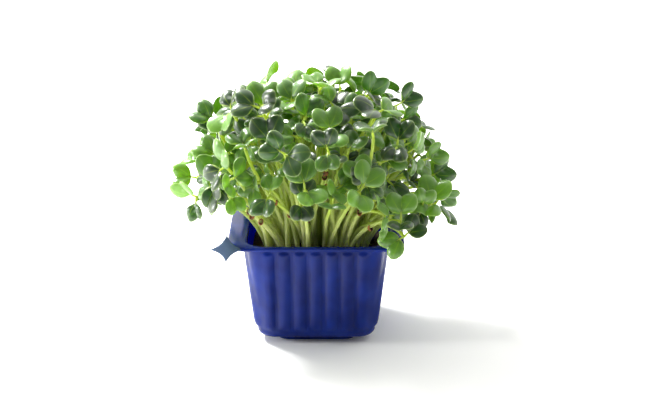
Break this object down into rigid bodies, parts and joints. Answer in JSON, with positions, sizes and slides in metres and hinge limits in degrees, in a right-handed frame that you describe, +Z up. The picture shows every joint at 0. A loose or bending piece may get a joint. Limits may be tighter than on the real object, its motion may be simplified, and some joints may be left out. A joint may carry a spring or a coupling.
{
  "type": "radish microgreens tray",
  "caption": "Square fluted tray of thin blue plastic with a growing pad and a dense dome of radish sprouts with notched seed leaves.",
  "frame": {"origin": "centre of the underside of the tray's foot, on the surface it stands on", "axes": "+Z up; -Y to the front wall that the picture shows; +X to the right seen from the front"},
  "size_m": [0.1778, 0.1587, 0.1665],
  "materials": {
    "tray_plastic": "deep royal blue thermoformed sheet, glossy and a little translucent",
    "growing_medium": null,
    "sprout_green": null
  },
  "bodies": {
    "root": {"tray": "tray_plastic", "growing_pad": "growing_medium", "tuft_01": "sprout_green", "tuft_02": "sprout_green", "tuft_03": "sprout_green", "tuft_04": "sprout_green", "tuft_05": "sprout_green", "tuft_06": "sprout_green", "tuft_07": "sprout_green", "tuft_08": "sprout_green", "tuft_09": "sprout_green", "tuft_10": "sprout_green", "tuft_11": "sprout_green", "tuft_12": "sprout_green", "tuft_13": "sprout_green", "tuft_14": "sprout_green", "tuft_15": "sprout_green", "tuft_16": "sprout_green", "tuft_17": "sprout_green", "tuft_18": "sprout_green", "tuft_19": "sprout_green", "tuft_20": "sprout_green", "tuft_21": "sprout_green", "tuft_22": "sprout_green", "tuft_23": "sprout_green", "tuft_24": "sprout_green", "tuft_25": "sprout_green", "tuft_26": "sprout_green", "tuft_27": "sprout_green", "tuft_28": "sprout_green", "tuft_29": "sprout_green", "tuft_30": "sprout_green", "tuft_31": "sprout_green", "tuft_32": "sprout_green", "tuft_33": "sprout_green", "tuft_34": "sprout_green", "tuft_35": "sprout_green"}
  },
  "joints": []
}
